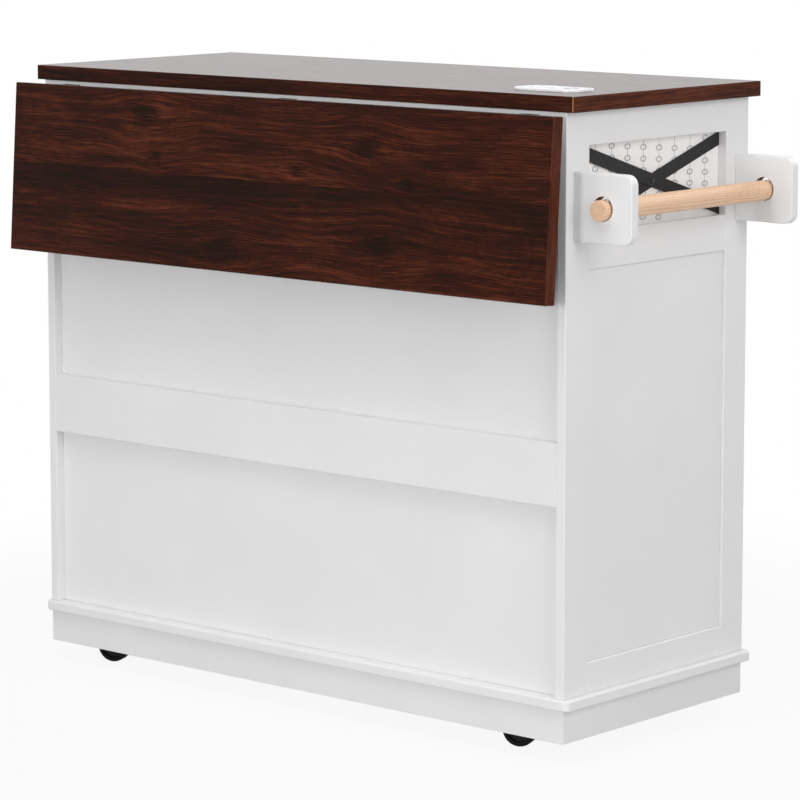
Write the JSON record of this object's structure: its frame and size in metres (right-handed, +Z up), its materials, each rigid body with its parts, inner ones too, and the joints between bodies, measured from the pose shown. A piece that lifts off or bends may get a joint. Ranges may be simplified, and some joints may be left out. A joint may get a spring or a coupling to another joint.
{
  "type": "drop leaf kitchen island",
  "caption": "White kitchen island on casters with a walnut worktop, a hinged drop leaf on folding brackets, drawers above doors, a towel rail and a power module let into the worktop.",
  "frame": {"origin": "bottom centre of the bounding box, on the floor", "axes": "+X towards the towel rail end, +Y from the drop leaf at the back towards the doors and drawers, +Z up"},
  "size_m": [1.1396, 0.5158, 0.936],
  "materials": {
    "walnut_laminate": "satin printed laminate",
    "white_mdf": "satin white lacquer",
    "black_steel": "matt powder coat",
    "zinc_steel": "zinc plated",
    "beech": "sanded and clear sealed",
    "black_rubber": "moulded",
    "white_plastic": "satin moulding"
  },
  "bodies": {
    "cabinet": {"plinth_back": "white_mdf", "plinth_front": "white_mdf", "plinth_left": "white_mdf", "plinth_right": "white_mdf", "base_board": "white_mdf", "end_left_frame": "white_mdf", "end_left_window_panel": "white_mdf", "end_left_x_brace": "black_steel", "end_right_stile_back": "white_mdf", "end_right_stile_front": "white_mdf", "end_right_rail_top": "white_mdf", "end_right_rail_middle": "white_mdf", "end_right_rail_bottom": "white_mdf", "end_right_lower_panel": "white_mdf", "end_right_window_panel": "white_mdf", "end_right_x_brace": "black_steel", "back_panel": "white_mdf", "back_top_rail": "white_mdf", "back_middle_rail": "white_mdf", "drawer_deck": "white_mdf", "shelf": "white_mdf", "worktop": "walnut_laminate", "power_module_housing": "white_plastic", "power_module_faceplate": "white_plastic", "drawer_left_runner": "zinc_steel", "drawer_right_runner": "zinc_steel", "door_left_hinge_upper": "black_steel", "door_left_hinge_lower": "black_steel", "door_right_hinge_upper": "black_steel", "door_right_hinge_lower": "black_steel", "leaf_bracket_plate_left": "black_steel", "leaf_bracket_plate_middle": "black_steel", "leaf_bracket_plate_right": "black_steel", "towel_bracket_back": "white_mdf", "towel_bracket_front": "white_mdf", "towel_bar": "beech"},
    "leaf": {"drop_leaf": "walnut_laminate", "leaf_bracket_arm_left": "black_steel", "leaf_bracket_arm_middle": "black_steel", "leaf_bracket_arm_right": "black_steel"},
    "leaf_struts": {"leaf_bracket_strut_left": "black_steel", "leaf_bracket_strut_right": "black_steel"},
    "drawer_left": {"drawer_left_box": "white_mdf", "drawer_left_front": "white_mdf", "drawer_left_pull": "black_steel"},
    "door_left": {"door_left": "white_mdf", "door_left_pull": "black_steel"},
    "drawer_right": {"drawer_right_box": "white_mdf", "drawer_right_front": "white_mdf", "drawer_right_pull": "black_steel"},
    "door_right": {"door_right": "white_mdf", "door_right_pull": "black_steel"},
    "caster_left_back_fork": {"caster_left_back_fork": "zinc_steel"},
    "caster_left_back_wheel": {"caster_left_back_wheel": "black_rubber"},
    "caster_left_front_fork": {"caster_left_front_fork": "zinc_steel"},
    "caster_left_front_wheel": {"caster_left_front_wheel": "black_rubber"},
    "caster_right_back_fork": {"caster_right_back_fork": "zinc_steel"},
    "caster_right_back_wheel": {"caster_right_back_wheel": "black_rubber"},
    "caster_right_front_fork": {"caster_right_front_fork": "zinc_steel"},
    "caster_right_front_wheel": {"caster_right_front_wheel": "black_rubber"}
  },
  "joints": [
    {"name": "leaf_hinge", "type": "hinge", "parent": "cabinet", "child": "leaf", "pos_m": [-0.04275, -0.20709, 0.898], "axis": [-1, 0, 0], "range_deg": [0, 86.3]},
    {"name": "leaf_strut_hinge", "type": "hinge", "parent": "cabinet", "child": "leaf_struts", "pos_m": [-0.04275, -0.20709, 0.818], "axis": [-1, 0, 0], "range_deg": [0, 116.56]},
    {"name": "drawer_left_slide", "type": "slide", "parent": "cabinet", "child": "drawer_left", "axis": [0, 1, 0], "range_m": [0, 0.28]},
    {"name": "door_left_hinge", "type": "hinge", "parent": "cabinet", "child": "door_left", "pos_m": [-0.5396, 0.23141, 0.40725], "axis": [0, 0, 1], "range_deg": [0, 110]},
    {"name": "drawer_right_slide", "type": "slide", "parent": "cabinet", "child": "drawer_right", "axis": [0, 1, 0], "range_m": [0, 0.28]},
    {"name": "door_right_hinge", "type": "hinge", "parent": "cabinet", "child": "door_right", "pos_m": [0.4541, 0.23141, 0.40725], "axis": [0, 0, -1], "range_deg": [0, 110]},
    {"name": "caster_left_back_swivel", "type": "hinge", "parent": "cabinet", "child": "caster_left_back_fork", "pos_m": [-0.45275, -0.13109, 0.0795], "axis": [0, 0, 1], "continuous": true},
    {"name": "caster_left_back_roll", "type": "hinge", "parent": "caster_left_back_fork", "child": "caster_left_back_wheel", "pos_m": [-0.47154, -0.13793, 0.025], "axis": [0.342, -0.9397, 0], "continuous": true},
    {"name": "caster_left_front_swivel", "type": "hinge", "parent": "cabinet", "child": "caster_left_front_fork", "pos_m": [-0.45275, 0.16491, 0.0795], "axis": [0, 0, 1], "continuous": true},
    {"name": "caster_left_front_roll", "type": "hinge", "parent": "caster_left_front_fork", "child": "caster_left_front_wheel", "pos_m": [-0.47154, 0.15807, 0.025], "axis": [0.342, -0.9397, 0], "continuous": true},
    {"name": "caster_right_back_swivel", "type": "hinge", "parent": "cabinet", "child": "caster_right_back_fork", "pos_m": [0.36725, -0.13109, 0.0795], "axis": [0, 0, 1], "continuous": true},
    {"name": "caster_right_back_roll", "type": "hinge", "parent": "caster_right_back_fork", "child": "caster_right_back_wheel", "pos_m": [0.34846, -0.13793, 0.025], "axis": [0.342, -0.9397, 0], "continuous": true},
    {"name": "caster_right_front_swivel", "type": "hinge", "parent": "cabinet", "child": "caster_right_front_fork", "pos_m": [0.36725, 0.16491, 0.0795], "axis": [0, 0, 1], "continuous": true},
    {"name": "caster_right_front_roll", "type": "hinge", "parent": "caster_right_front_fork", "child": "caster_right_front_wheel", "pos_m": [0.34846, 0.15807, 0.025], "axis": [0.342, -0.9397, 0], "continuous": true}
  ],
  "couplings": [
    {"joint": "leaf_strut_hinge", "follows": "leaf_hinge", "ratio": 1.3506}
  ]
}
